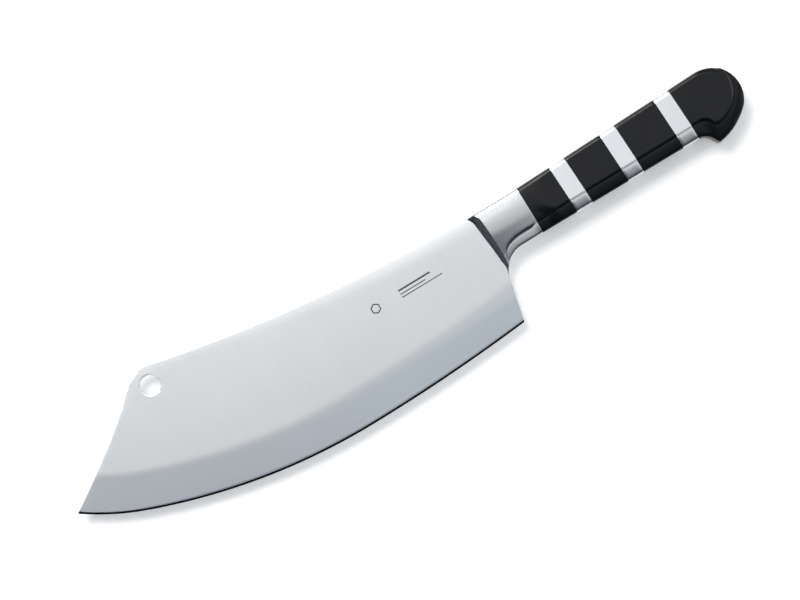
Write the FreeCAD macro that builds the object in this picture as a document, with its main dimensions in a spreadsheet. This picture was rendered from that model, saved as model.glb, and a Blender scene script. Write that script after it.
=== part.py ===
import FreeCAD, Part
import math
import os
import types

import Sketcher

# A forged cleaver-shaped kitchen knife with a stacked handle, lying on its side.
# Everything is drawn in the knife's own frame: x = 0 at the joint between bolster and handle,
# +x towards the butt, +y towards the spine, z through the thickness with 0 in the middle.
# Each sub-part's Placement then moves it so that the box's bottom centre is the origin.

SIZES = {
    # where the knife's own frame lies in the part's frame
    "shift_x": 61.39, "shift_y": 7.035, "shift_z": 8.5,
    # blade outline, seen from the side
    "heel_x": -25.35, "heel_y": -37.89,
    "belly_x": -100.36, "belly_y": -41.49,
    "sweep_x": -197.3, "sweep_y": -23.6,
    "tip_x": -222.65, "tip_y": -10.0,
    "nose_front_x": -176.37, "nose_front_y": 24.84,
    "nose_back_x": -167.39, "nose_back_y": 27.16,
    "root_x": -15.0, "root_top_y": 10.5, "root_low_y": -11.58,
    "heel_top_x": -21.0, "heel_top_y": -18.9,
    "heel_sweep": 782.4, "belly_sweep": 272.1, "tip_sweep": 111.8,
    "front_sweep": 323.0, "nose_round": 10.0, "spine_sweep": 638.4, "heel_round": 10.8,
    # blade grinds: the main bevel starts at the grind line, the edge bevel just above the edge
    "grind_y": -26.4, "grind_turn_x": -96.0, "grind_sweep": 262.0,
    "grind_sweep_x": -186.0, "grind_sweep_y": -10.0,
    "grind_end_x": -211.0, "grind_end_y": 0.6, "grind_heel_x": -22.8,
    "edge_bevel": 0.95, "edge_half": 0.04, "bevel_half": 0.26,
    # how the top of the edge bevel shifts at the outline's corners, per unit of its width
    "heel_shift_x": 0.24, "sweep_shift_x": 0.4, "sweep_shift_y": 0.9, "tip_shift_x": 1.2,
    "plate_half_root": 1.7, "plate_half_tip": 1.05,
    "hole_x": -169.9, "hole_y": 19.6, "hole_radius": 4.3,
    # handle sections
    "side_half": 8.5, "front_side_half": 6.03, "top_round": 1.2,
    "panel_low_y": -4.75, "panel_step": 0.9, "panel_step_drop": 0.45,
    "front_x": -24.0, "waist_x": -9.0, "full_x": 14.0, "back_x": 76.0,
    "front_top_y": 10.6, "full_top_y": 11.05, "back_top_y": 12.9,
    "front_low_y": -22.0, "waist_low_y": -10.65, "back_low_y": -10.95,
    "front_panel_y": -17.0,
    # bolster: the cove runs from the crisp front edge down to its foot on the blade
    "cove_x": -19.3, "cove_half": 6.34, "cove_round": 4.8,
    "foot_x": -22.7, "foot_half": 1.6, "foot_low_y": -12.0,
    # joints along the handle, and how far the joint planes lean per unit of height
    "joint_front": 0.0, "ring_one": 15.87, "ring_one_end": 23.25,
    "ring_two": 40.27, "ring_two_end": 47.6, "ring_three": 66.47, "ring_three_end": 73.85,
    "rake": 0.04, "reach": 30.0,
    # hidden tang, its slot and the threaded end
    "tang_half": 1.75, "tang_root_half": 5.5, "tang_end_half": 4.0, "tang_end_x": 62.0,
    "slot_gap": 0.5, "slot_mid_y": 0.8,
    "stud_radius": 2.0, "stud_end_x": 89.0,
    "insert_x": 75.5, "insert_length": 12.0, "insert_radius": 4.5,
    "insert_groove": 0.8, "insert_land": 4.0,
    # pommel: side outline, crease outline and flat face outline
    "pommel_x": 72.0, "butt_top_x": 86.1, "butt_top_y": 13.29, "butt_round": 13.5,
    "butt_low_x": 96.2, "butt_low_y": -9.6, "hook_sweep": 28.0,
    "hook_x": 80.9, "hook_y": -16.7, "hook_back_x": 79.8, "hook_back_y": -15.1,
    "hook_round": 6.3, "hook_end_x": 73.9,
    "crease_butt_x": 98.19, "crease_butt_y": 6.55, "crease_sweep": 16.1,
    "crease_hook_x": 84.0, "crease_hook_y": -9.9,
    "crease_back_x": 82.4, "crease_back_y": -9.2,
    "crease_round": 5.3, "crease_end_x": 76.5,
    "face_butt_x": 97.15, "face_butt_y": 5.95, "face_round": 12.3,
}

# where the pommel's round keel is drawn, as shares of its half width
KEEL_LEVELS = (0.34, 0.68, 0.9)

NODES = [
    "blade", "bolster", "front_segment", "front_ring", "second_segment", "middle_ring",
    "third_segment", "rear_ring", "pommel", "tang_stud", "pommel_insert", "tang_bedding",
]


class Size:
    """A number together with the spreadsheet expression that gives it."""

    def __init__(self, number, text):
        self.number = number
        self.text = text

    def __add__(self, other):
        return Size(self.number + number_of(other), f"({self.text} + {text_of(other)})")

    def __sub__(self, other):
        return Size(self.number - number_of(other), f"({self.text} - {text_of(other)})")

    def __mul__(self, other):
        return Size(self.number * number_of(other), f"({self.text} * {text_of(other)})")

    def __truediv__(self, other):
        return Size(self.number / number_of(other), f"({self.text} / {text_of(other)})")

    def __neg__(self):
        return self * -1


def number_of(value):
    return value.number if isinstance(value, Size) else float(value)


def text_of(value):
    return value.text if isinstance(value, Size) else str(value)


def add_sheet(document):
    """Write the driving dimensions to a spreadsheet and return them as Size values."""
    sheet = document.addObject("Spreadsheet::Sheet", "sizes")
    for row, (name, number) in enumerate(SIZES.items(), start=1):
        sheet.set(f"A{row}", name)
        sheet.set(f"B{row}", str(number))
        sheet.setAlias(f"B{row}", name)
    document.recompute()
    return types.SimpleNamespace(
        **{name: Size(sheet.get(name), f"sizes.{name}") for name in SIZES})


def bind(item, **places):
    """Bind properties of an object to expressions; a double underscore stands for a dot."""
    for place, value in places.items():
        item.setExpression(place.replace("__", "."), text_of(value))


# ---------------------------------------------------------------- sketches

def arc_centre(start, end, radius, side):
    """Centre of the short arc from start to end; side is +1 when it lies on the left."""
    chord = end - start
    height = math.sqrt(radius ** 2 - chord.Length ** 2 / 4)
    left = FreeCAD.Vector(-chord.y, chord.x, 0).normalize()
    return (start + end) * 0.5 + left * (side * height)


def draw_outline(sketch, corners, arcs):
    """Draw a closed loop through corners; arcs maps a side's index to (radius, side)."""
    points = [FreeCAD.Vector(number_of(x), number_of(y), 0) for x, y in corners]
    ends = []
    for index, start in enumerate(points):
        end = points[(index + 1) % len(points)]
        if index not in arcs:
            ends.append((sketch.addGeometry(Part.LineSegment(start, end)), 1, 2))
            continue
        radius, side = arcs[index]
        centre = arc_centre(start, end, number_of(radius), side)
        first, last = (start, end) if side > 0 else (end, start)
        angles = [math.atan2(point.y - centre.y, point.x - centre.x) for point in (first, last)]
        circle = Part.Circle(centre, FreeCAD.Vector(0, 0, 1), number_of(radius))
        edge = sketch.addGeometry(Part.ArcOfCircle(circle, *angles))
        ends.append((edge, 1, 2) if side > 0 else (edge, 2, 1))
        pin(sketch, Sketcher.Constraint("Radius", edge, number_of(radius)), radius)
    for index, (edge, begin, finish) in enumerate(ends):
        follower, follower_begin, _ = ends[(index + 1) % len(ends)]
        sketch.addConstraint(
            Sketcher.Constraint("Coincident", edge, finish, follower, follower_begin))
        for kind, value in zip(("DistanceX", "DistanceY"), corners[index]):
            pin(sketch, Sketcher.Constraint(kind, -1, 1, edge, begin, number_of(value)), value)


def pin(sketch, constraint, value):
    """Add a dimension to a sketch and bind it when it comes from the sheet."""
    index = sketch.addConstraint(constraint)
    if isinstance(value, Size):
        sketch.setExpression(f"Constraints[{index}]", value.text)


def side_sketch(document, name, corners, arcs, height=0.0, lean=None):
    """A sketch seen from the side (XY), at a height and leaning about the Y axis."""
    sketch = document.addObject("Sketcher::SketchObject", name)
    draw_outline(sketch, corners, arcs)
    bind(sketch, Placement__Base__z=height)
    if lean is not None:
        bind(sketch, Placement__Rotation__Pitch=lean)
    return sketch


def thick(document, name, sketch, half, direction=(0, 0, 1)):
    """Extrude a sketch by half to each side of its plane."""
    solid = document.addObject("Part::Extrusion", name)
    solid.Base = sketch
    solid.DirMode = "Custom"
    solid.Dir = direction
    solid.Solid = True
    bind(solid, LengthFwd=half, LengthRev=half)
    return solid


def loft(document, name, sections):
    """A ruled solid through a list of sketches."""
    solid = document.addObject("Part::Loft", name)
    solid.Sections = sections
    solid.Solid = True
    solid.Ruled = True
    return solid


def combine(document, kind, name, base, tool):
    """A Part::Cut or Part::Common of two objects."""
    result = document.addObject(f"Part::{kind}", name)
    result.Base = base
    result.Tool = tool
    return result


# ---------------------------------------------------------------- handle

def section_sketch(document, name, station, half, top, panel_low, low, dim):
    """The handle's cross-section at one station: flat sides, a small step and a round keel."""
    inner = half - dim.panel_step
    step_y = panel_low - dim.panel_step_drop
    sag = step_y - low
    keel = (inner * inner + sag * sag) / (sag * 2)
    crown = half - dim.top_round
    shoulder = top - dim.top_round
    corners = [
        (top, -crown), (top, crown), (shoulder, half), (panel_low, half), (step_y, inner),
        (step_y, -inner), (panel_low, -half), (shoulder, -half),
    ]
    arcs = {1: (dim.top_round, 1), 4: (keel, 1), 7: (dim.top_round, 1)}
    sketch = document.addObject("Sketcher::SketchObject", name)
    turn = FreeCAD.Rotation(FreeCAD.Vector(1, 1, 1), 120)
    sketch.Placement = FreeCAD.Placement(FreeCAD.Vector(), turn)
    draw_outline(sketch, corners, arcs)
    bind(sketch, Placement__Base__x=station)
    return sketch


def handle_form(document, dim):
    """The handle's outer form from bolster to rear ring, before it is parted into pieces."""
    slope = (dim.side_half - dim.front_side_half) / (dim.full_x - dim.front_x)
    waist_half = dim.front_side_half + slope * (dim.waist_x - dim.front_x)
    stations = [
        ("front", dim.front_x, dim.front_side_half, dim.front_top_y, dim.front_panel_y,
         dim.front_low_y),
        ("waist", dim.waist_x, waist_half, dim.front_top_y, dim.panel_low_y, dim.waist_low_y),
        ("full", dim.full_x, dim.side_half, dim.full_top_y, dim.panel_low_y, dim.waist_low_y),
        ("back", dim.back_x, dim.side_half, dim.back_top_y, dim.panel_low_y, dim.back_low_y),
    ]
    sections = [
        section_sketch(document, f"{name}_section", station, half, top, panel, low, dim)
        for name, station, half, top, panel, low in stations
    ]
    return loft(document, "handle_form", sections)


def slab(document, name, start, end, dim, start_rake=1, end_rake=1):
    """A slab across the handle between two joint planes, each raked or square."""
    lean = dim.rake * dim.reach
    corners = [
        (start + lean * start_rake, -dim.reach), (end + lean * end_rake, -dim.reach),
        (end - lean * end_rake, dim.reach), (start - lean * start_rake, dim.reach),
    ]
    sketch = side_sketch(document, f"{name}_span", corners, {})
    return thick(document, f"{name}_slab", sketch, dim.reach)


def handle_pieces(document, form, slot, dim):
    """The black segments and the steel rings, parted from the form and slotted for the tang."""
    spans = [
        ("front_segment", dim.joint_front, dim.ring_one, 0),
        ("front_ring", dim.ring_one, dim.ring_one_end, 1),
        ("second_segment", dim.ring_one_end, dim.ring_two, 1),
        ("middle_ring", dim.ring_two, dim.ring_two_end, 1),
        ("third_segment", dim.ring_two_end, dim.ring_three, 1),
        ("rear_ring", dim.ring_three, dim.ring_three_end, 1),
    ]
    pieces = {}
    for name, start, end, start_rake in spans:
        span = slab(document, name, start, end, dim, start_rake)
        blank = combine(document, "Common", f"{name}_blank", form, span)
        pieces[name] = combine(document, "Cut", name, blank, slot)
    return pieces


# ---------------------------------------------------------------- blade

def blade_plate(document, dim):
    """The ground blade: six outlines lofted through the thickness, thinner to the tip."""
    rim = {3: (dim.front_sweep, -1), 4: (dim.nose_round, -1), 5: (dim.spine_sweep, 1),
           8: (dim.heel_round, 1)}
    rest = [
        (dim.nose_front_x, dim.nose_front_y), (dim.nose_back_x, dim.nose_back_y),
        (dim.cove_x, dim.root_top_y), (dim.root_x, dim.root_top_y),
        (dim.root_x, dim.root_low_y), (dim.heel_top_x, dim.heel_top_y),
    ]
    sweeps = {0: (dim.heel_sweep, -1), 1: (dim.belly_sweep, -1), 2: (dim.tip_sweep, -1)}
    lift = dim.edge_bevel
    edge = [
        (dim.heel_x, dim.heel_y), (dim.belly_x, dim.belly_y),
        (dim.sweep_x, dim.sweep_y), (dim.tip_x, dim.tip_y),
    ]
    bevel = [
        (dim.heel_x + lift * dim.heel_shift_x, dim.heel_y + lift),
        (dim.belly_x, dim.belly_y + lift),
        (dim.sweep_x + lift * dim.sweep_shift_x, dim.sweep_y + lift * dim.sweep_shift_y),
        (dim.tip_x + lift * dim.tip_shift_x, dim.tip_y + lift),
    ]
    grind = [
        (dim.grind_heel_x, dim.grind_y), (dim.grind_turn_x, dim.grind_y),
        (dim.grind_sweep_x, dim.grind_sweep_y), (dim.grind_end_x, dim.grind_end_y),
    ]
    grind_sweeps = {1: (dim.grind_sweep, -1), 2: (dim.grind_sweep, -1)}
    slope = (dim.plate_half_root - dim.plate_half_tip) / (dim.root_x - dim.tip_x)
    lean = slope * (180 / math.pi)
    middle = dim.plate_half_root - slope * dim.root_x
    sections = []
    for side in (-1, 1):
        layers = [
            (f"grind_{side}", grind, grind_sweeps, middle * side, lean * -side),
            (f"bevel_{side}", bevel, sweeps, dim.bevel_half * side, None),
            (f"edge_{side}", edge, sweeps, dim.edge_half * side, None),
        ]
        for name, low, bends, height, tilt in layers[::-side]:
            label = name.replace("-1", "under").replace("1", "over")
            sections.append(
                side_sketch(document, label, low + rest, {**bends, **rim}, height, tilt))
    return loft(document, "blade_plate", sections)


def bolster_form(document, form, dim):
    """The bolster's outer form, cut from the handle form by its side outline and its cove."""
    corners = [
        (dim.joint_front, -dim.reach), (dim.joint_front, dim.reach),
        (dim.foot_x, dim.reach), (dim.foot_x, dim.foot_low_y),
        (dim.heel_top_x, dim.heel_top_y), (dim.root_x, dim.root_low_y),
        (dim.waist_x, dim.waist_low_y),
    ]
    outline = side_sketch(document, "bolster_outline", corners, {4: (dim.heel_round, -1)})
    block = thick(document, "bolster_block", outline, dim.reach)
    blank = combine(document, "Common", "bolster_blank", form, block)
    plan = document.addObject("Sketcher::SketchObject", "cove_plan")
    plan.Placement.Rotation = FreeCAD.Rotation(FreeCAD.Vector(1, 0, 0), 90)
    corners = [
        (dim.joint_front, -dim.reach), (dim.joint_front, dim.reach), (dim.cove_x, dim.reach),
        (dim.cove_x, dim.cove_half), (dim.foot_x, dim.foot_half), (dim.foot_x, -dim.foot_half),
        (dim.cove_x, -dim.cove_half), (dim.cove_x, -dim.reach),
    ]
    draw_outline(plan, corners, {3: (dim.cove_round, -1), 5: (dim.cove_round, -1)})
    cove = thick(document, "cove_block", plan, dim.reach, (0, 1, 0))
    return combine(document, "Common", "bolster_form", blank, cove)


def tang_outline(document, name, gap, end, dim):
    """The tang seen from the side, from inside the bolster, grown by a gap all round."""
    root = dim.tang_root_half + gap
    tail = dim.tang_end_half + gap
    corners = [
        (dim.waist_x, dim.slot_mid_y - root), (end, dim.slot_mid_y - tail),
        (end, dim.slot_mid_y + tail), (dim.waist_x, dim.slot_mid_y + root),
    ]
    return side_sketch(document, name, corners, {})


def blade(document, plate, dim):
    """The ground blade with the hanging hole through it; its root is let into the bolster."""
    drill = document.addObject("Part::Cylinder", "hanging_drill")
    bind(drill, Radius=dim.hole_radius, Height=dim.side_half * 2,
         Placement__Base__x=dim.hole_x, Placement__Base__y=dim.hole_y,
         Placement__Base__z=-dim.side_half)
    return combine(document, "Cut", "blade", plate, drill)


def bolster_and_tang(document, form, plate, tang, dim):
    """The bolster with its tang, closed tightly round the root of the blade."""
    joined = combine(document, "Fuse", "bolster_with_tang", bolster_form(document, form, dim), tang)
    return combine(document, "Cut", "bolster", joined, plate)


# ---------------------------------------------------------------- pommel

def blend(first, second, share):
    """A value part of the way from first to second."""
    return first + (second - first) * share


def pommel_outline(document, index, height, share, outer, inner):
    """One level of the pommel, part of the way from the outer to the inner outline."""
    corners = [
        (blend(a, c, share), blend(b, d, share))
        for (a, b), (c, d) in zip(outer["corners"], inner["corners"])
    ]
    sides = {1: -1, 2: -1, 4: 1}
    arcs = {
        place: (blend(outer["rounds"][place], inner["rounds"][place], share), side)
        for place, side in sides.items()
    }
    return side_sketch(document, f"pommel_level_{index}", corners, arcs, height)


def pommel_form(document, dim):
    """The pommel: a round keel that runs into a hooked butt, between two flat faces."""
    top = dim.full_top_y + (dim.back_top_y - dim.full_top_y) * (
        (dim.pommel_x - dim.full_x) / (dim.back_x - dim.full_x))
    side = {
        "corners": [
            (dim.pommel_x, top), (dim.butt_top_x, dim.butt_top_y),
            (dim.butt_low_x, dim.butt_low_y), (dim.hook_x, dim.hook_y),
            (dim.hook_back_x, dim.hook_back_y), (dim.hook_end_x, dim.back_low_y),
            (dim.pommel_x, dim.back_low_y),
        ],
        "rounds": {1: dim.butt_round, 2: dim.hook_sweep, 4: dim.hook_round},
    }
    step_y = dim.panel_low_y - dim.panel_step_drop
    crease = {
        "corners": [
            (dim.pommel_x, top), (dim.butt_top_x, dim.butt_top_y),
            (dim.crease_butt_x, dim.crease_butt_y), (dim.crease_hook_x, dim.crease_hook_y),
            (dim.crease_back_x, dim.crease_back_y), (dim.crease_end_x, step_y),
            (dim.pommel_x, step_y),
        ],
        "rounds": {1: dim.butt_round, 2: dim.crease_sweep, 4: dim.crease_round},
    }
    face = {
        "corners": [
            (dim.pommel_x, top - dim.top_round),
            (dim.butt_top_x, dim.butt_top_y - dim.top_round),
            (dim.face_butt_x, dim.face_butt_y),
            *crease["corners"][3:5],
            (dim.crease_end_x, dim.panel_low_y), (dim.pommel_x, dim.panel_low_y),
        ],
        "rounds": {1: dim.face_round, 2: dim.crease_sweep, 4: dim.crease_round},
    }
    inner = dim.side_half - dim.panel_step
    sag = step_y - dim.back_low_y
    keel = (inner.number ** 2 + sag.number ** 2) / (2 * sag.number)
    levels = []
    for share_of_width in KEEL_LEVELS:
        reach = inner.number * share_of_width
        rise = keel - math.sqrt(keel ** 2 - reach ** 2)
        levels.append((inner * share_of_width, rise / sag.number, side, crease))
    levels.append((inner, 1.0, side, crease))
    levels.append((dim.side_half, 1.0, crease, face))
    below = [(-height, *rest) for height, *rest in reversed(levels)]
    sketches = [
        pommel_outline(document, index, *level) for index, level in enumerate(below + levels)
    ]
    return loft(document, "pommel_form", sketches)


def pommel(document, insert, stud, dim):
    """The pommel behind the rear ring, moulded round the threaded insert."""
    span = slab(document, "pommel", dim.ring_three_end, dim.ring_three_end + dim.reach * 2, dim)
    blank = combine(document, "Common", "pommel_blank", pommel_form(document, dim), span)
    cored = combine(document, "Cut", "pommel_cored", blank, insert["envelope"])
    return combine(document, "Cut", "pommel", cored, stud)


# ---------------------------------------------------------------- hidden fastening

def rod(document, name, radius, start, length, dim):
    """A round bar along the handle, on the tang's centre line."""
    bar = document.addObject("Part::Cylinder", name)
    bar.Placement.Rotation = FreeCAD.Rotation(FreeCAD.Vector(0, 1, 0), 90)
    bind(bar, Radius=radius, Height=length, Placement__Base__x=start,
         Placement__Base__y=dim.slot_mid_y)
    return bar


def revolved_body(document, name, profile, dim):
    """A PartDesign body: a profile in the side plane turned about the tang's centre line."""
    body = document.addObject("PartDesign::Body", name)
    plane = [item for item in body.Origin.OriginFeatures if item.Role == "XY_Plane"][0]
    axis = [item for item in body.Origin.OriginFeatures if item.Role == "X_Axis"][0]
    sketch = body.newObject("Sketcher::SketchObject", f"{name}_profile")
    sketch.AttachmentSupport = [(plane, "")]
    sketch.MapMode = "FlatFace"
    draw_outline(sketch, profile, {})
    turned = body.newObject("PartDesign::Revolution", f"{name}_turned")
    turned.Profile = sketch
    turned.ReferenceAxis = (axis, [""])
    turned.Angle = 360
    body.Tip = turned
    bind(body, Placement__Base__y=dim.slot_mid_y)
    return body


def pommel_insert(document, dim):
    """The threaded insert: a collar with a holding groove, and the hollow that it fills."""
    start = dim.insert_x
    end = dim.insert_x + dim.insert_length
    outer = dim.insert_radius
    groove = dim.insert_radius - dim.insert_groove
    rim = [
        (end, outer), (end - dim.insert_land, outer), (end - dim.insert_land, groove),
        (start + dim.insert_land, groove), (start + dim.insert_land, outer), (start, outer),
    ]
    bore = [(start, dim.stud_radius), (end, dim.stud_radius)]
    core = [(start, 0), (end, 0)]
    return {
        "piece": revolved_body(document, "pommel_insert", bore + rim, dim),
        "envelope": revolved_body(document, "insert_hollow", core + rim, dim),
    }


def tang_bedding(document, slot, tang, stud, dim):
    """The resin that beds the tang and the stud in the slots of the stack."""
    span = slab(document, "bedding", dim.joint_front, dim.ring_three_end, dim, 0)
    filled = combine(document, "Common", "bedding_fill", slot, span)
    around = combine(document, "Cut", "bedding_around_tang", filled, tang)
    return combine(document, "Cut", "tang_bedding", around, stud)


# ---------------------------------------------------------------- whole knife

def build(document, dim):
    """Make every sub-part and return them by name."""
    form = handle_form(document, dim)
    tang = thick(
        document, "tang", tang_outline(document, "tang_outline", 0, dim.tang_end_x, dim),
        dim.tang_half)
    slot_end = dim.ring_three_end + dim.slot_gap * 2
    slot_plan = tang_outline(document, "slot_outline", dim.slot_gap, slot_end, dim)
    slot = thick(document, "tang_slot", slot_plan, dim.tang_half + dim.slot_gap)
    stud = rod(document, "stud", dim.stud_radius, dim.tang_end_x,
               dim.stud_end_x - dim.tang_end_x, dim)
    insert = pommel_insert(document, dim)
    parts = handle_pieces(document, form, slot, dim)
    plate = blade_plate(document, dim)
    parts["blade"] = blade(document, plate, dim)
    parts["bolster"] = bolster_and_tang(document, form, plate, tang, dim)
    parts["pommel"] = pommel(document, insert, stud, dim)
    parts["tang_stud"] = rod(document, "tang_stud", dim.stud_radius, dim.tang_end_x,
                             dim.stud_end_x - dim.tang_end_x, dim)
    parts["pommel_insert"] = insert["piece"]
    parts["tang_bedding"] = tang_bedding(document, slot, tang, stud, dim)
    return parts


def place(parts, dim):
    """Label each sub-part and move it from the knife's frame to the part's frame."""
    for name, part in parts.items():
        part.Label = name
        base = part.Placement.Base
        own = {axis: getattr(base, axis) for axis in "xyz"}
        for axis, shift in zip("xyz", (dim.shift_x, dim.shift_y, dim.shift_z)):
            bound = dict(part.ExpressionEngine).get(f"Placement.Base.{axis}", str(own[axis]))
            part.setExpression(f"Placement.Base.{axis}", f"{bound} + {shift.text}")


def check(document, parts):
    """Stop when an object failed or a sub-part is not a valid solid."""
    failed = [item.Name for item in document.Objects
              if "Invalid" in item.State or "Error" in item.State]
    if failed:
        raise RuntimeError(f"failed objects: {failed}")
    for name, part in parts.items():
        shape = part.Shape
        if shape.isNull() or not shape.isValid() or not shape.Solids:
            raise RuntimeError(f"{name} is not a valid solid")
        box = shape.BoundBox
        print(f"{name:15s} {shape.Volume:9.1f} mm3  {len(shape.Solids)} solid"
              f"  x {box.XMin:.2f}..{box.XMax:.2f}"
              f"  y {box.YMin:.2f}..{box.YMax:.2f}  z {box.ZMin:.2f}..{box.ZMax:.2f}")


def main():
    document = FreeCAD.newDocument("cleaver")
    dim = add_sheet(document)
    parts = build(document, dim)
    document.recompute()
    place(parts, dim)
    document.recompute()
    check(document, parts)
    os.makedirs("parts", exist_ok=True)
    for name in NODES:
        parts[name].Shape.exportStep(f"parts/{name}.step")


main()
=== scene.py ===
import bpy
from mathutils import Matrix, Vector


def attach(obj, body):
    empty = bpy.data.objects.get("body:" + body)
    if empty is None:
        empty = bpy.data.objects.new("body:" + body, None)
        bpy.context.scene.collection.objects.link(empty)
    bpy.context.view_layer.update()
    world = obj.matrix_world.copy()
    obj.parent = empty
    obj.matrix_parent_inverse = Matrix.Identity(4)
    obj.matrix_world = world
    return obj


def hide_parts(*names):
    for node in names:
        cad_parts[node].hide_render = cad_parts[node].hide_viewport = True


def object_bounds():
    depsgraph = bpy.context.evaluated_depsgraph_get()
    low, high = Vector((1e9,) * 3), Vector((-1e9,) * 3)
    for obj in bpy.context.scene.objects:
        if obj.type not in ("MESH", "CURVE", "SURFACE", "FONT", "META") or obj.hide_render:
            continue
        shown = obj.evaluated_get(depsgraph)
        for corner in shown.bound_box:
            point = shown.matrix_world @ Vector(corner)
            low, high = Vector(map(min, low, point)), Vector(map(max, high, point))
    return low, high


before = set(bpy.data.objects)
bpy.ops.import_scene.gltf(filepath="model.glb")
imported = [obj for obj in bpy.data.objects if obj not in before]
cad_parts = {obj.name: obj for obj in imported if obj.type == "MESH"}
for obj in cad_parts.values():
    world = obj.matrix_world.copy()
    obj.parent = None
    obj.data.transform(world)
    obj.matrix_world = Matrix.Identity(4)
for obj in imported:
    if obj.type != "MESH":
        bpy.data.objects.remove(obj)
CAD_BOX = [list(corner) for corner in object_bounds()]

import math

import bmesh
import bpy
from bpy.props import FloatProperty, FloatVectorProperty, PointerProperty
from mathutils import Matrix, Vector

bl_info = {
    "name": "Cleaver Maker",
    "version": (1, 0, 0),
    "blender": (4, 5, 0),
    "location": "3D View > Sidebar > Cleaver",
    "description": "Builds a forged cleaver with a stacked handle around its packed frame",
    "category": "Add Mesh",
}

MM = 0.001

# The knife's own frame, in millimetres: x runs from the bolster's back face towards the butt,
# y towards the spine, z through the thickness from the middle plane.
TIP = (-222.65, -10.0)
HEEL = (-25.35, -37.89)
BELLY = (-100.36, -41.49)
SWEEP = (-197.3, -23.6)
ROOT = (-14.3, 10.5)
SPINE_START = (-21.5, 10.49)
NOSE_BACK = (-167.39, 27.16)
NOSE_FRONT = (-176.37, 24.84)
BUTT_CENTRE = (86.5, -0.2)
HANGING_HOLE = (-169.9, 19.6)

HEEL_RADIUS, BELLY_RADIUS, TIP_RADIUS = 782.4, 272.1, 111.8
SPINE_RADIUS, NOSE_RADIUS, FRONT_RADIUS = 638.4, 10.0, 323.0
SWEEP_TURN = math.radians(20.88)  # how far the edge has turned where the tip arc starts

# Joint planes along the handle, at mid height, and how far they lean for each unit of height.
RINGS = {"front_ring": (15.87, 23.25), "middle_ring": (40.27, 47.6), "rear_ring": (66.47, 73.85)}
SEGMENTS = {
    "front_segment": (0.0, 15.87), "second_segment": (23.25, 40.27),
    "third_segment": (47.6, 66.47),
}
POMMEL_START = 73.85
LEAN = 0.04

LOW, HIGH = (Vector(corner) for corner in CAD_BOX)
ORIGIN = Vector((LOW.x - TIP[0] * MM, LOW.y - BELLY[1] * MM, (LOW.z + HIGH.z) / 2))


# ---------------------------------------------------------------- settings

def millimetres(name, description, value):
    """A length setting, given in millimetres and kept in metres."""
    return FloatProperty(name=name, description=description, default=value * MM, unit="LENGTH",
                         precision=5)


def tint(name, description, colour):
    return FloatVectorProperty(name=name, description=description, default=colour,
                               subtype="COLOR", size=3, min=0.0, max=1.0)


def share(name, description, value):
    return FloatProperty(name=name, description=description, default=value, subtype="FACTOR",
                         min=0.0, max=1.0)


class CleaverBladeSettings(bpy.types.PropertyGroup):
    """Thickness, grinds and finish of the blade."""

    heel_half: millimetres("Heel Half Thickness", "Half the blade's thickness at the bolster", 1.68)
    tip_half: millimetres("Tip Half Thickness", "Half the blade's thickness at the tip", 1.05)
    edge_half: millimetres("Edge Half Thickness", "Half the thickness of the very edge", 0.04)
    edge_bevel: millimetres("Edge Bevel", "Width of the honed edge bevel", 0.9)
    bevel_half: millimetres("Bevel Half Thickness", "Half the thickness above the edge bevel", 0.26)
    heel_grind: millimetres("Heel Grind", "Width of the main bevel at the heel", 13.8)
    belly_grind: millimetres("Belly Grind", "Width of the main bevel at mid blade", 15.1)
    tip_grind: millimetres("Tip Grind", "Width of the main bevel towards the tip", 16.0)
    heel_blend: millimetres("Heel Blend", "Half width of the soft grind line at the heel", 4.0)
    tip_blend: millimetres("Tip Blend", "Half width of the soft grind line at the tip", 1.0)
    back_round: millimetres("Back Round", "Width of the soft fall to the spine", 7.5)
    hole_radius: millimetres("Hanging Hole Radius", "Radius of the hanging hole", 4.3)
    spine_round: millimetres("Spine Round", "Width of the eased corner along the spine", 0.22)
    colour: tint("Steel Colour", "Colour of the satin ground steel", (0.575, 0.588, 0.60))
    # The bevel colour is the finer grind's own finish plus a painted reflection: it is painted
    # lighter and bluer than the flat steel, standing in for the surroundings seen in the tilted
    # bevel.
    bevel: tint("Bevel Colour", "Colour of the finer ground main bevel", (0.637, 0.682, 0.729))
    roughness: share("Steel Roughness", "Roughness of the satin ground steel", 0.3)


class CleaverHandleSettings(bpy.types.PropertyGroup):
    """Cross-section and finish of the stacked handle."""

    side_half: millimetres("Side Half Width", "Half the thickness over the flat sides", 8.5)
    shoulder: millimetres("Shoulder Round", "Radius of the soft edge over a side", 4.2)
    corner: millimetres("Corner Round", "Radius between the shoulder and the back", 0.5)
    crown: millimetres("Back Crown", "Height of the crown on the back of the handle", 0.4)
    panel_step: millimetres("Panel Step", "How far a side panel stands proud of the keel", 0.9)
    panel_slope: millimetres("Panel Slope", "Width of the slope under a side panel", 0.75)
    panel_low: millimetres("Panel Low Edge", "Height of the panel's lower edge", -4.75)
    lip: millimetres("Panel Lip", "Radius of a panel's lower edge on the segments", 0.45)
    ring_lip: millimetres("Ring Lip", "Radius of a panel's lower edge on the steel", 0.14)
    joint_ease: millimetres("Joint Ease", "Width of the eased corner at each joint", 0.1)
    black: tint("Handle Colour", "Colour of the moulded segments", (0.0030, 0.0034, 0.0042))
    ring: tint("Ring Colour", "Colour of the steel rings", (0.69, 0.70, 0.715))
    roughness: share("Handle Roughness", "Roughness of the moulded segments", 0.27)


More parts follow.
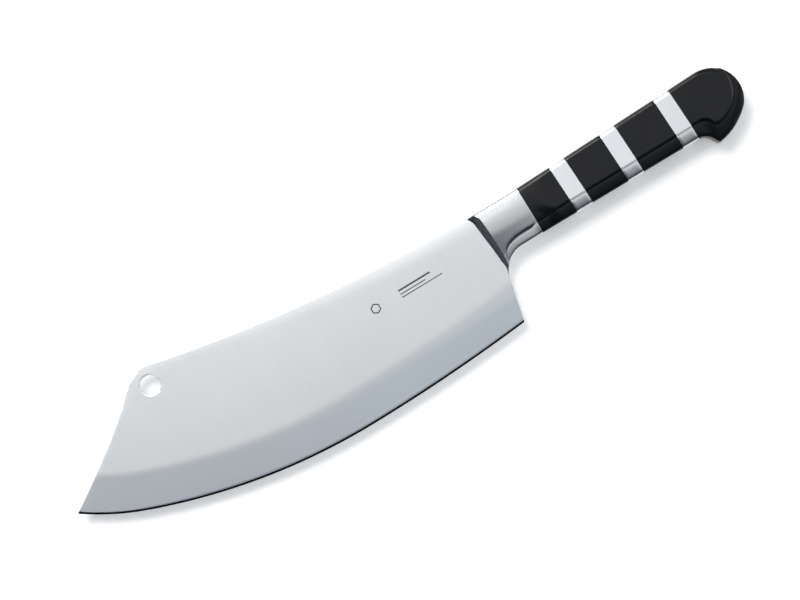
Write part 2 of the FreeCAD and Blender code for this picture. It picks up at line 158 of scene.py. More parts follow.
class CleaverStudioSettings(bpy.types.PropertyGroup):
    """Camera, floor and lights."""

    camera_height: millimetres("Camera Height", "Height of the camera above the knife", 1300.0)
    frame_width: millimetres("Frame Width", "Width of the view at the knife", 328.0)
    roll: FloatProperty(name="Roll", description="Turn of the knife in the view",
                        default=math.radians(31.3), subtype="ANGLE")
    softbox: FloatProperty(name="Softbox Power", description="Power of the overhead softbox",
                           default=14.5, unit="POWER")
    key: FloatProperty(name="Key Power", description="Power of the key light",
                       default=24.5, unit="POWER")
    fill: FloatProperty(name="Fill Power", description="Power of the light beyond the butt",
                        default=8.0, unit="POWER")
    floor: tint("Floor Colour", "Colour of the plain floor", (0.93, 0.93, 0.93))
    bright_side: tint("Bright Side", "Light from the side behind the spine", (0.31, 0.38, 0.45))
    dark_side: tint("Dark Side", "Light from the side of the cutting edge", (0.016, 0.022, 0.030))


# ---------------------------------------------------------------- plain geometry

def arc_centre(start, end, radius, side):
    """Centre of the short arc from start to end; side is +1 when it lies on the left."""
    chord_x, chord_y = end[0] - start[0], end[1] - start[1]
    length = math.hypot(chord_x, chord_y)
    height = math.sqrt(max(radius ** 2 - length ** 2 / 4, 0)) * side / length
    return ((start[0] + end[0]) / 2 - chord_y * height, (start[1] + end[1]) / 2 + chord_x * height)


def arc(start, end, radius, side, count):
    """count points along the short arc from start towards end, without its last point."""
    centre = arc_centre(start, end, radius, side)
    first = math.atan2(start[1] - centre[1], start[0] - centre[0])
    last = math.atan2(end[1] - centre[1], end[0] - centre[0])
    turn = (last - first + math.pi) % (2 * math.pi) - math.pi
    return [(centre[0] + radius * math.cos(first + turn * step / count),
             centre[1] + radius * math.sin(first + turn * step / count))
            for step in range(count)]


def line(start, end, count):
    """count points along a straight line from start, without its last point."""
    return [mix_points(start, end, step / count) for step in range(count)]


def mix(first, second, amount):
    return first + (second - first) * amount


def mix_points(first, second, amount):
    return tuple(mix(a, b, amount) for a, b in zip(first, second))


def clamp_between(value, low, high):
    return min(max(value, low), high)


def clamp(value):
    return min(max(value, 0.0), 1.0)


def smooth(value):
    """A soft step from 0 to 1."""
    value = clamp(value)
    return value * value * (3 - 2 * value)


def lengths(points):
    """Distance along a chain of points, as a share of its whole length."""
    total = [0.0]
    for first, second in zip(points, points[1:]):
        total.append(total[-1] + math.dist(first, second))
    return [value / total[-1] for value in total]


def along(points, shares, place):
    """The point at a share of a chain's length."""
    index = 0
    while index < len(shares) - 2 and shares[index + 1] < place:
        index += 1
    span = shares[index + 1] - shares[index]
    return mix_points(points[index], points[index + 1], (place - shares[index]) / span)


def in_row(x, y, z):
    """A point of the knife's own frame, in millimetres, as a point of the row frame."""
    return ORIGIN + Vector((x, y, z)) * MM


# ---------------------------------------------------------------- modelling helpers

def deselect():
    bpy.ops.object.select_all(action="DESELECT")


def start_grid(name, columns, rows):
    """A flat grid of columns by rows points, ready to be laid on a surface."""
    deselect()
    bpy.ops.mesh.primitive_grid_add(x_subdivisions=columns - 1, y_subdivisions=rows - 1, size=1)
    piece = bpy.context.object
    piece.name = name
    piece.data.name = name
    return piece


def lay(piece, points):
    """Move a grid's points, row by row, to points of the knife's own frame."""
    flat = [value for point in points for value in in_row(*point)]
    piece.data.vertices.foreach_set("co", flat)
    piece.matrix_world = Matrix.Identity(4)
    piece.data.update()


def edit(piece, kind="VERT"):
    """Open a piece in edit mode with nothing selected."""
    deselect()
    piece.select_set(True)
    bpy.context.view_layer.objects.active = piece
    bpy.ops.object.mode_set(mode="EDIT")
    bpy.ops.mesh.select_mode(type=kind)
    bpy.ops.mesh.select_all(action="DESELECT")


def close_edit():
    bpy.ops.object.mode_set(mode="OBJECT")


def select_edges(piece, test):
    """Select the edges, in edit mode, whose two ends and faces pass a test."""
    mesh = bmesh.from_edit_mesh(piece.data)
    for edge in mesh.edges:
        edge.select_set(test(edge))
    bmesh.update_edit_mesh(piece.data)


def fold(edge):
    """Angle between an edge's two faces."""
    return edge.calc_face_angle(0.0) if len(edge.link_faces) == 2 else 0.0


def tidy_normals():
    bpy.ops.mesh.select_all(action="SELECT")
    bpy.ops.mesh.normals_make_consistent(inside=False)


def ease(piece, width, test):
    """Bevel the edges that pass a test."""
    edit(piece, "EDGE")
    select_edges(piece, test)
    bpy.ops.mesh.bevel(offset=width, segments=2, profile=0.5, clamp_overlap=True)
    close_edit()


def shade(piece, angle=math.radians(28)):
    """Smooth shading that keeps the large faces flat and the sharp corners sharp."""
    deselect()
    piece.select_set(True)
    bpy.context.view_layer.objects.active = piece
    bpy.ops.object.shade_smooth_by_angle(angle=angle)
    modifier = piece.modifiers.new("Weighted", "WEIGHTED_NORMAL")
    modifier.keep_sharp = True
    bpy.ops.object.modifier_apply(modifier=modifier.name)


def finish_piece(piece, material, slot, *nodes):
    """Give a piece its material and tie it to the frame."""
    piece.data.materials.clear()
    piece.data.materials.append(material)
    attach(piece, "root")
    if nodes:
        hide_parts(*nodes)


# ---------------------------------------------------------------- blade surface

BLADE_ROWS = 64
# The easing towards the spine: its depth for each square millimetre, the share of its width
# that is left far from the bolster, and the run over which it narrows.
BACK_DEPTH, BACK_NARROW, BACK_RUN = 0.0036, 0.35, 120
# In metres: how near two points are merged, and the shortest edge that is kept.
WELD, SLIVER = 2e-6, 1e-6
# The least fold of a corner that is eased, in radians, and its least distance from the edge.
RIM_FOLD, RIM_CLEARANCE = 1.0, 1.2
HOLE_FACETS, DRILL_DEPTH = 96, 20


def edge_chain():
    """The cutting edge from heel to tip."""
    points = arc(HEEL, BELLY, HEEL_RADIUS, -1, 60)
    points += arc(BELLY, SWEEP, BELLY_RADIUS, -1, 90)
    points += arc(SWEEP, TIP, TIP_RADIUS, -1, 40)
    return points + [TIP]


def back_chain():
    """The spine, the round nose and the clipped front, from the bolster to the tip."""
    points = line(ROOT, SPINE_START, 6)
    points += arc(SPINE_START, NOSE_BACK, SPINE_RADIUS, -1, 120)
    points += arc(NOSE_BACK, NOSE_FRONT, NOSE_RADIUS, 1, 18)
    points += arc(NOSE_FRONT, TIP, FRONT_RADIUS, -1, 66)
    return points + [TIP]


def edge_distance(x, y):
    """Distance of a point on the blade from the cutting edge."""
    past_sweep = (x - SWEEP[0]) * -math.cos(SWEEP_TURN) + (y - SWEEP[1]) * math.sin(SWEEP_TURN)
    if past_sweep > 0:
        start, end, radius = SWEEP, TIP, TIP_RADIUS
    elif x < BELLY[0]:
        start, end, radius = BELLY, SWEEP, BELLY_RADIUS
    else:
        start, end, radius = HEEL, BELLY, HEEL_RADIUS
    centre = arc_centre(start, end, radius, -1)
    return max(radius - math.dist((x, y), centre), 0.0)


def soft_lowest(first, second, blend):
    """The lower of two values, rounded where they meet."""
    near = max(blend - abs(first - second), 0.0) / blend
    return min(first, second) - near * near * blend / 4


def half_thickness(x, y, sizes):
    """Half the blade's thickness at a point, in millimetres."""
    distance = edge_distance(x, y)
    toward_tip = clamp((x - HEEL[0]) / (TIP[0] - HEEL[0]))
    to_belly = clamp((x - HEEL[0]) / (BELLY[0] - HEEL[0]))
    past_belly = clamp((x - BELLY[0]) / (SWEEP[0] - BELLY[0]))
    flat = mix(sizes.heel_half, sizes.tip_half, toward_tip) / MM
    width = mix(sizes.heel_grind, sizes.belly_grind, smooth(to_belly)) / MM
    width = mix(width, sizes.tip_grind / MM, smooth(past_belly))
    low, rise = sizes.bevel_half / MM, sizes.edge_bevel / MM
    if distance < rise:
        return mix(sizes.edge_half / MM, low, distance / rise)
    slope = (flat - low) / (width - rise)
    blend = mix(sizes.heel_blend, sizes.tip_blend, math.sqrt(toward_tip)) / MM
    return soft_lowest(flat, low + slope * (distance - rise), slope * blend)


def back_fall(x, distance, sizes):
    """How far a side eases away near the back; the easing is widest at the bolster."""
    width = sizes.back_round / MM * mix(1.0, BACK_NARROW, clamp((ROOT[0] - x) / BACK_RUN))
    return BACK_DEPTH * max(width - distance, 0.0) ** 2


def blade_points(sizes, side, rows):
    """One side of the blade, row by row from the cutting edge to the back."""
    back, edge = back_chain(), edge_chain()
    edge_shares = lengths(edge)
    feet = [along(edge, edge_shares, place) for place in lengths(back)]
    rise = sizes.edge_bevel / MM
    grid = []
    for row in range(rows):
        for foot, head in zip(feet, back):
            reach = math.dist(foot, head)
            first = min(rise, reach / 3) / max(reach, 1e-6)
            place = 0.0 if row == 0 else mix(first, 1.0, (row - 1) / (rows - 2))
            x, y = mix_points(foot, head, place)
            half = half_thickness(x, y, sizes) - back_fall(x, reach * (1 - place), sizes)
            grid.append((x, y, half * side))
    return grid


def make_blade(sizes):
    """The ground blade: two laid grids, bridged along the back and joined along the edge."""
    columns = len(back_chain())
    sides = []
    for side in (1, -1):
        piece = start_grid("blade", columns, BLADE_ROWS)
        lay(piece, blade_points(sizes, side, BLADE_ROWS))
        sides.append(piece)
    deselect()
    for piece in sides:
        piece.select_set(True)
    bpy.context.view_layer.objects.active = sides[0]
    bpy.ops.object.join()
    blade = sides[0]
    edit(blade, "EDGE")
    select_edges(blade, lambda edge: edge.is_boundary)
    bpy.ops.mesh.bridge_edge_loops()
    bpy.ops.mesh.select_all(action="SELECT")
    bpy.ops.mesh.remove_doubles(threshold=WELD)
    bpy.ops.mesh.dissolve_degenerate(threshold=SLIVER)
    tidy_normals()
    close_edit()
    drill_hole(blade, sizes)
    ease(blade, sizes.spine_round, on_rim)
    shade(blade)
    return blade


def on_rim(edge):
    """True for the corners of the back, the heel and the hanging hole."""
    middle = (edge.verts[0].co + edge.verts[1].co) / 2 - ORIGIN
    return fold(edge) > RIM_FOLD \
        and edge_distance(middle.x / MM, middle.y / MM) > RIM_CLEARANCE


def drill_hole(blade, sizes):
    """Cut the hanging hole and leave its rim ready to be eased."""
    deselect()
    x, y = HANGING_HOLE
    bpy.ops.mesh.primitive_cylinder_add(
        vertices=HOLE_FACETS, radius=sizes.hole_radius, depth=DRILL_DEPTH * MM,
        location=in_row(x, y, 0))
    drill = bpy.context.object
    modifier = blade.modifiers.new("Hanging Hole", "BOOLEAN")
    modifier.operation = "DIFFERENCE"
    modifier.solver = "EXACT"
    modifier.object = drill
    deselect()
    blade.select_set(True)
    bpy.context.view_layer.objects.active = blade
    bpy.ops.object.modifier_apply(modifier=modifier.name)
    bpy.data.objects.remove(drill, do_unlink=True)


# ---------------------------------------------------------------- handle surface

BACK_Y, BACK_RISE = 10.63, 0.0299
KEEL_FRONT, KEEL_REAR = -10.62, -10.95
UNDER_ARC = (-10.5, -21.4, 10.8)
# The corner turns from 90 degrees to SHOULDER_TURN in its first SHOULDER_SHARE of points, and
# ends at SHOULDER_START, where the flat side begins.
SHOULDER_START, SHOULDER_TURN, SHOULDER_SHARE = 9.0, 24.0, 0.4
# The lower edge of the side panel: the station where it starts to sweep down, the sweep's
# length, power and depth, then a gentle fall under the first segment.
SWEEP_START, SWEEP_LENGTH, SWEEP_POWER, SWEEP_DEPTH = -5.0, 14.2, 1.6, 8.6
FALL_START, FALL_LENGTH, FALL_DEPTH = 14, 18, 0.45
SLOPE_WIDER, SLOPE_RUN = 0.6, 4
# The scoop in front of SCOOP_TIP: how its edge curves, how fast it falls, and its crown.
SCOOP_TIP, SCOOP_SLOPE, SCOOP_CURVE, SCOOP_RUN = 7.0, 0.03, 0.0008, 6
SCOOP_LINE, SCOOP_ABOVE, SCOOP_BELOW, SCOOP_REACH = 0.4, 0.05, 0.16, 2.3
CROWN_LINE, CROWN_ABOVE, CROWN_BELOW, CROWN_REACH = 6.0, 0.003, 0.0075, 7.9
SCOOP_FLOOR = -11.0
KEEL_FULLNESS, KEEL_TILT, KEEL_EASE = 11.0, 0.235, 1.0
KEEL_EVEN, KEEL_LEAST = 0.88, 0.3
BOLSTER_TILT, TILT_RUN = 0.55, 5
END_CORNERS = 60
SECTION = [("back", 8), ("corner", 12), ("side", 30), ("lip", 5), ("slope", 4), ("keel", 24)]


def back_height(x):
    """Height of the handle's back at a station."""
    return BACK_Y + BACK_RISE * max(x, 0.0)


def keel_height(x):
    """Height of the handle's lowest line at a station; it drops round the heel in an arc."""
    centre_x, centre_y, radius = UNDER_ARC
    if x < centre_x:
        return centre_y + math.sqrt(max(radius ** 2 - (x - centre_x) ** 2, 0.0))
    return mix(KEEL_FRONT, KEEL_REAR, clamp(x / POMMEL_START))


def panel_edge(x, sizes):
    """Height of the side panel's lower edge; it sweeps down at the front of the bolster."""
    sweep = clamp((SWEEP_START - x) / SWEEP_LENGTH) ** SWEEP_POWER
    return sizes.panel_low / MM - FALL_DEPTH * smooth((FALL_START - x) / FALL_LENGTH) \
        - SWEEP_DEPTH * (1 - math.sqrt(1 - sweep ** 2))


def panel_slope(x, sizes):
    """Width of the slope under the side panel; it is wider on the bolster."""
    return sizes.panel_slope / MM * (1 + SLOPE_WIDER * smooth(-x / SLOPE_RUN))


def straightened(value, limit):
    """The square of a length, carried on straight beyond a limit."""
    value = abs(value)
    return value ** 2 if value < limit else limit * (2 * value - limit)


def scoop(x, y):
    """How far a side falls away in front of the scoop's curved edge."""
    over_line, over_crown = y - SCOOP_LINE, y - CROWN_LINE
    edge = SCOOP_ABOVE * over_line ** 2 if over_line > 0 \
        else SCOOP_BELOW * straightened(over_line, SCOOP_REACH)
    crown = CROWN_ABOVE * over_crown ** 2 if over_crown > 0 \
        else CROWN_BELOW * straightened(over_crown, CROWN_REACH)
    past = max(SCOOP_TIP + edge - x, 0.0)
    return SCOOP_SLOPE * past + SCOOP_CURVE * past * past + smooth(past / SCOOP_RUN) * crown


def corner_turn(amount):
    """Angle on the corner between back and side: tight first, then the wide shoulder."""
    if amount < SHOULDER_SHARE:
        return math.radians(mix(90.0, SHOULDER_TURN, amount / SHOULDER_SHARE))
    past = (amount - SHOULDER_SHARE) / (1 - SHOULDER_SHARE)
    return math.radians(mix(SHOULDER_TURN, SHOULDER_START, past))


def corner_walk(turn, sizes):
    """Distance along and down from the side's edge to an angle of the corner."""
    shoulder, corner = sizes.shoulder / MM, sizes.corner / MM
    start, limit = math.radians(SHOULDER_START), math.radians(SHOULDER_TURN)
    first, second = clamp_between(turn, start, limit), max(turn, limit)
    across = shoulder * (math.sin(first) - math.sin(start)) \
        + corner * (math.sin(second) - math.sin(limit))
    down = shoulder * (math.cos(start) - math.cos(first)) \
        + corner * (math.cos(limit) - math.cos(second))
    return across, down


def corner_place(turn, sizes):
    """Distance in from the back and down from the side at an angle of the corner."""
    across, down = corner_walk(turn, sizes)
    return corner_walk(math.radians(90), sizes)[0] - across, down


def keel_share(amount):
    """Share of the keel's depth at a step: even at first, then close round its corner."""
    if amount < 0.5:
        return KEEL_EVEN * amount / 0.5
    start = math.asin(KEEL_EVEN ** (KEEL_FULLNESS / 2))
    return math.sin(mix(start, math.radians(90), (amount - 0.5) / 0.5)) ** (2 / KEEL_FULLNESS)


def keel_half(reach, share_down, inner, tilt=KEEL_TILT):
    """Half width of the keel at a share of its depth."""
    below = reach * share_down
    full = inner - tilt * (below - KEEL_EASE * (1 - math.exp(-below / KEEL_EASE)))
    return full * max(1 - share_down ** KEEL_FULLNESS, 0.0) ** (1 / KEEL_FULLNESS)


def half_section():
    """Half a cross-section, from the middle of the back to the middle of the keel."""
    return [(kind, step / count) for kind, count in SECTION for step in range(count)] \
        + [("keel", 1.0)]


def section_point(kind, amount, x, sizes, lip):
    """Height and half width of one point of the cross-section at a station."""
    side, crown = sizes.side_half / MM, sizes.crown / MM
    top, panel = back_height(x), panel_edge(x, sizes)
    reach, down = corner_walk(math.radians(90), sizes)
    shoulder = top - crown - reach
    foot = panel - panel_slope(x, sizes)
    low_scoop = scoop(x, max(panel, SCOOP_FLOOR))
    inner = side - sizes.panel_step / MM - low_scoop
    turn = math.radians(90) * amount
    if kind == "back":
        return top - crown * amount ** 2, (side - down - scoop(x, top - crown)) * amount
    if kind == "corner":
        across, drop = corner_place(corner_turn(amount), sizes)
        return top - crown - across, side - scoop(x, top - crown - across) - drop
    if kind == "side":
        y = mix(shoulder, panel + lip, amount)
        return y, side - scoop(x, max(y, SCOOP_FLOOR))
    if kind == "lip":
        return (panel + lip * (1 - math.sin(turn)),
                side - low_scoop - lip * (1 - math.cos(turn)))
    if kind == "slope":
        return mix_points((panel, side - low_scoop - lip), (foot, inner), amount)
    low = min(keel_height(x), foot - KEEL_LEAST)
    below = keel_share(amount)
    tilt = KEEL_TILT * mix(1.0, BOLSTER_TILT, smooth(-x / TILT_RUN))
    return mix(foot, low, below), keel_half(foot - low, below, inner, tilt)


def whole_section(x, sizes, lip):
    """All the points of a cross-section as (kind, height, depth), once round and closed."""
    half = [(kind, *section_point(kind, amount, x, sizes, lip))
            for kind, amount in half_section()]
    return half + [(kind, y, -z) for kind, y, z in reversed(half[:-1])]


def on_end(edge):
    """True for the edges round a piece's flat end faces."""
    return max(len(face.verts) for face in edge.link_faces) > END_CORNERS


def close_ends(piece):
    """Close a tube's two open ends with flat faces."""
    edit(piece, "EDGE")
    mesh = bmesh.from_edit_mesh(piece.data)
    middle = sum(vertex.co.x for vertex in mesh.verts) / len(mesh.verts)
    for side in (-1, 1):
        select_edges(piece, lambda edge: edge.is_boundary
                     and (edge.verts[0].co.x - middle) * side > 0)
        bpy.ops.mesh.edge_face_add()
    tidy_normals()
    close_edit()


def make_tube(name, stations):
    """A closed piece through a list of stations, each a closed loop of points."""
    piece = start_grid(name, len(stations), len(stations[0]))
    lay(piece, [loop[row] for row in range(len(stations[0])) for loop in stations])
    edit(piece)
    bpy.ops.mesh.select_all(action="SELECT")
    bpy.ops.mesh.remove_doubles(threshold=WELD)
    close_edit()
    close_ends(piece)
    return piece


def make_collar(name, start, end, sizes, spacing, lip):
    """One ring or segment of the stack, between two joint planes."""
    count = max(int((end - start) / spacing), 4)
    stations = []
    for step in range(count + 1):
        x = mix(start, end, step / count)
        lean = LEAN * (step / count if start == 0 else 1.0)
        stations.append([(x - lean * y, y, z) for _, y, z in whole_section(x, sizes, lip)])
    piece = make_tube(name, stations)
    ease(piece, sizes.joint_ease, on_end)
    shade(piece)
    return piece


# ---------------------------------------------------------------- bolster

BOLSTER_FRONT, BOLSTER_STATIONS = -19.0, 44
# The crisp front edge: how far it stands ahead at FRONT_MIDDLE, how fast it falls back from
# there, and the quicker fall above FRONT_SHOULDER.
FRONT_AHEAD, FRONT_MIDDLE, FRONT_FALL = 0.45, -7.5, 0.0035
FRONT_SHOULDER, SHOULDER_FALL = 7.0, 0.13
# The cove: its steps and the turn of its hollow, its length for each unit of depth and beyond
# it, and how its foot sinks into the blade.
COVE_STEPS, COVE_TURN = 14, math.radians(78)
COVE_SLOPE, COVE_FOOT, FOOT_SUNK = 0.46, 0.5, 1.5
SINK_DEEP, SINK_THIN, BACK_DROP = 0.6, 0.2, 0.12
COVE_KEEL_TOP, KEEL_END = -9.0, -21.0
BLADE_OVERLAP = 0.02


def front_shift(y):
    """How far the bolster's crisp front edge stands ahead of its nominal station."""
    return FRONT_AHEAD - FRONT_FALL * (y - FRONT_MIDDLE) ** 2 \
        - SHOULDER_FALL * max(y - FRONT_SHOULDER, 0.0) ** 2


def cove_point(kind, x, y, z, amount, half):
    """A point of the cove, swept from the bolster's front edge down into the blade."""
    drop = max(abs(z) - half, 0.0)
    reach = COVE_SLOPE * drop + COVE_FOOT
    turn = COVE_TURN * min(amount, 1.0)
    sunk = max(amount - 1.0, 0.0)
    if drop > 0:
        x_new = x - reach * (1 - math.cos(turn)) / (1 - math.cos(COVE_TURN)) - sunk
        depth = abs(z) - drop * math.sin(turn) / math.sin(COVE_TURN) - sunk * SINK_DEEP
    else:
        x_new = x - reach * min(amount, 1.0) - sunk
        depth = abs(z) * (1 - SINK_THIN * sunk)
    if kind == "keel":
        fall = keel_height(max(x_new, KEEL_END)) - keel_height(max(x, KEEL_END))
        y += fall * clamp((y - COVE_KEEL_TOP) / (keel_height(x) - COVE_KEEL_TOP))
    if kind == "back":
        y -= BACK_DROP * amount
    return x_new, y, math.copysign(depth, z)


def make_bolster(sizes, blade):
    """The bolster: stations of the handle's section, then a cove that runs onto the blade."""
    stations = []
    lip = sizes.ring_lip / MM
    for step in range(BOLSTER_STATIONS + 1):
        x = BOLSTER_FRONT * (1 - step / BOLSTER_STATIONS)
        share_front = x / BOLSTER_FRONT
        stations.append([(x + front_shift(y) * share_front, y, z)
                         for _, y, z in whole_section(x, sizes, lip)])
    half = blade.heel_half / MM - BLADE_OVERLAP
    front = [(kind, *point) for (kind, _, _), point in
             zip(whole_section(BOLSTER_FRONT, sizes, lip), stations[0])]
    for amount in [step / COVE_STEPS for step in range(1, COVE_STEPS + 1)] + [FOOT_SUNK]:
        stations.insert(0, [cove_point(*point, amount, half) for point in front])
    piece = make_tube("bolster", stations)
    ease(piece, sizes.joint_ease * 0.8,
         lambda edge: on_end(edge) and edge.verts[0].co.x > in_row(-1, 0, 0).x)
    shade(piece, math.radians(34))
    return piece


# ---------------------------------------------------------------- pommel

BUTT_TOP = (86.1, 13.3)
BUTT_RADIUS = 13.5
BUTT_ROUND = 2.6
POMMEL_KEEL = 5.0
# How far the outlines fall away from the side under the hook and the butt, the stations where
# each fall starts, the length of its start, and the depth from the middle by which it is whole.
HOOK_FALL, BUTT_FALL, BUTT_FALL_SHARE = 0.75, 1.2, 0.7
HOOK_START, BUTT_START, FALL_EASE, FALL_WHOLE = 76.0, 88.0, 5, 4
PANEL_SHIFT = 5.76
POMMEL_ROWS = 24
POMMEL_TURNS = (75, 60, 45, 33, 24, 21, 18, 15, 12, 10.5, 9)
FACE_INSET = 0.3
SIDE_OUTLINE = {"butt": -44.0, "hook": (80.9, -16.7), "hook_back": (79.8, -15.1),
                "waist": (74.6, -10.96), "sweep": 28.0, "hollow": 6.3}
PANEL_OUTLINE = {"butt": 30.0, "hook": (84.0, -9.9), "hook_back": (82.4, -9.2),
                 "waist": (76.5, -5.2), "sweep": 16.1, "hollow": 5.3}


def pommel_outline(amount):
    """The pommel's outline part of the way from its middle to its side panel.

    Each point is (x, y, low, butt): low is 0 along the back and the butt and 1 under the
    hook, and butt is 0 along the straight back and 1 round the butt.
    """
    size = {key: mix(SIDE_OUTLINE[key], PANEL_OUTLINE[key], amount)
            if isinstance(SIDE_OUTLINE[key], float)
            else mix_points(SIDE_OUTLINE[key], PANEL_OUTLINE[key], amount)
            for key in SIDE_OUTLINE}
    top, low = back_height(POMMEL_START), size["waist"][1]
    start = (POMMEL_START - LEAN * top, top)
    finish = (POMMEL_START - LEAN * low, low)
    turn = math.radians(size["butt"])
    butt = (BUTT_CENTRE[0] + BUTT_RADIUS * math.cos(turn),
            BUTT_CENTRE[1] + BUTT_RADIUS * math.sin(turn))
    first = math.atan2(BUTT_TOP[1] - BUTT_CENTRE[1], BUTT_TOP[0] - BUTT_CENTRE[0])
    points = [(*point, 0.0, 0.0) for point in line(start, BUTT_TOP, 10)]
    for step in range(44):
        angle = mix(first, turn, step / 44)
        points.append((BUTT_CENTRE[0] + BUTT_RADIUS * math.cos(angle),
                       BUTT_CENTRE[1] + BUTT_RADIUS * math.sin(angle),
                       smooth((step - 34) / 10), smooth(step / 14)))
    lower = arc(butt, size["hook"], size["sweep"], -1, 30)
    lower += line(size["hook"], size["hook_back"], 5)
    lower += arc(size["hook_back"], size["waist"], size["hollow"], 1, 20)
    lower += line(size["waist"], finish, 5) + [finish]
    return points + [(*point, 1.0, 1.0) for point in lower]


def inset(points, depths):
    """Move each point of an open chain inwards, to the right of its direction of travel.

    depths are for the straight back and the butt; a point with low at 1 stays where it is.
    """
    moved = []
    for index, (x, y, low, butt) in enumerate(points):
        before, after = points[max(index - 1, 0)], points[min(index + 1, len(points) - 1)]
        run_x, run_y = after[0] - before[0], after[1] - before[1]
        length = math.hypot(run_x, run_y)
        depth = mix(depths[0], depths[1], butt) * (1 - low)
        moved.append((x + run_y / length * depth, y - run_x / length * depth, low))
    return moved


def butt_inset(z, sizes):
    """How far the butt's wide round lies in from its outline at a depth."""
    level = math.cos(math.radians(SHOULDER_START)) - (sizes.side_half / MM - z) / BUTT_ROUND
    return BUTT_ROUND * (1 - math.sin(math.acos(clamp(level))))


def pommel_level(z, amount, sizes, turn=None):
    """The pommel's outline at a depth from the middle plane."""
    side, crown = sizes.side_half / MM, sizes.crown / MM
    inner = side - sizes.panel_step / MM
    slope, lip = sizes.panel_slope / MM, sizes.lip / MM
    whole = corner_walk(math.radians(90), sizes)[1]
    drop = crown * min(z / (side - whole), 1.0) ** 2
    if turn is not None:
        drop += corner_place(turn, sizes)[0]
    rise = clamp((z - inner) / (side - lip - inner)) * slope
    past = max(z - (side - lip), 0.0)
    rise += lip - math.sqrt(max(lip ** 2 - past ** 2, 0.0))
    outline = pommel_outline(amount + rise / PANEL_SHIFT)
    points = inset(outline, (drop, butt_inset(z, sizes)))
    for index in (0, -1):
        x, y, low = points[index]
        points[index] = (POMMEL_START - LEAN * y, y, low)
    hook = HOOK_FALL * (1 - amount) * min(z / FALL_WHOLE, 1.0)
    butt = BUTT_FALL * max(BUTT_FALL_SHARE - amount, 0.0) * min(z / FALL_WHOLE, 1.0)
    return [(x, y, z - low * (hook * smooth((x - HOOK_START) / FALL_EASE)
                              + butt * smooth((x - BUTT_START) / FALL_EASE)))
            for x, y, low in points]


def make_pommel(sizes):
    """The hooked pommel: outlines laid through its thickness, closed by flat faces."""
    side = sizes.side_half / MM
    inner = side - sizes.panel_step / MM
    shares = [keel_share(1 - step / POMMEL_ROWS) for step in range(POMMEL_ROWS + 1)]
    half = [pommel_level(keel_half(POMMEL_KEEL, share, inner), 1 - share, sizes)
            for share in shares]
    for turn in map(math.radians, POMMEL_TURNS):
        depth = side - corner_walk(turn, sizes)[1]
        if depth > inner + 0.02:
            half.append(pommel_level(depth, 1.0, sizes, turn))
    levels = [[(x, y, -z) for x, y, z in level] for level in reversed(half[1:])] + half
    columns, rows = len(levels[0]), len(levels)
    piece = start_grid("pommel", columns, rows)
    lay(piece, [point for level in levels for point in level])
    edit(piece)
    mesh = bmesh.from_edit_mesh(piece.data)
    ends = [range(columns), range((rows - 1) * columns, rows * columns)]
    sides = [range(0, rows * columns, columns), range(columns - 1, rows * columns, columns)]
    for group in ends + [[*sides[0], *sides[1]]]:
        bpy.ops.mesh.select_all(action="DESELECT")
        mesh.verts.ensure_lookup_table()
        for index in group:
            mesh.verts[index].select_set(True)
        mesh.select_flush(True)
        bmesh.update_edit_mesh(piece.data)
        bpy.ops.mesh.edge_face_add()
        mesh = bmesh.from_edit_mesh(piece.data)
    tidy_normals()
    bpy.ops.mesh.select_mode(type="FACE")
    for face in mesh.faces:
        face.select_set(len(face.verts) > END_CORNERS and abs(face.normal.z) > 0.99)
    bmesh.update_edit_mesh(piece.data)
    bpy.ops.mesh.inset(thickness=FACE_INSET * MM)
    close_edit()
    shade(piece)
    return piece


# ---------------------------------------------------------------- etched mark

MARK_LEFT, MARK_Y, MARK_RADIUS, MARK_WALL = -74.6, -1.6, 2.3, 0.5
MARK_THICK, MARK_PROUD, MARK_SUNK = 0.06, 0.012, -0.05
MARK_BARS = [(-55.5, -0.2, 15.0, 0.75), (-57.0, -1.9, 12.0, 0.42), (-53.4, -3.3, 19.2, 0.42)]


def make_mark(blade):
    """A plain etched mark: a six-sided ring and three bars, a hair proud of the steel."""
    deselect()
    bpy.ops.mesh.primitive_circle_add(vertices=6, radius=MARK_RADIUS * MM, fill_type="NGON",
                                      location=in_row(MARK_LEFT, MARK_Y, 0))
    shapes = [bpy.context.object]
    edit(shapes[0], "FACE")
    bpy.ops.mesh.select_all(action="SELECT")
    bpy.ops.mesh.inset(thickness=MARK_WALL * MM)
    bpy.ops.mesh.delete(type="FACE")
    close_edit()
    for x, y, length, height in MARK_BARS:
        deselect()
        bpy.ops.mesh.primitive_plane_add(size=MM, location=in_row(x, y, 0))
        bar = bpy.context.object
        bar.scale = (length, height, 1)
        shapes.append(bar)
    deselect()
    for shape in shapes:
        shape.select_set(True)
    bpy.context.view_layer.objects.active = shapes[0]
    bpy.ops.object.join()
    mark = shapes[0]
    mark.name = mark.data.name = "etched_mark"
    bpy.ops.object.transform_apply(location=True, rotation=True, scale=True)
    edit(mark, "EDGE")
    bpy.ops.mesh.select_all(action="SELECT")
    bpy.ops.mesh.subdivide(number_cuts=3)
    bpy.ops.mesh.select_all(action="SELECT")
    bpy.ops.mesh.extrude_region_move(TRANSFORM_OT_translate={"value": (0, 0, MARK_THICK * MM)})
    tidy_normals()
    close_edit()
    for vertex in mark.data.vertices:
        x, y, z = (vertex.co - ORIGIN) / MM
        lift = MARK_PROUD if z > MARK_THICK / 2 else MARK_SUNK
        vertex.co = in_row(x, y, half_thickness(x, y, blade) + lift)
    return mark


# ---------------------------------------------------------------- materials

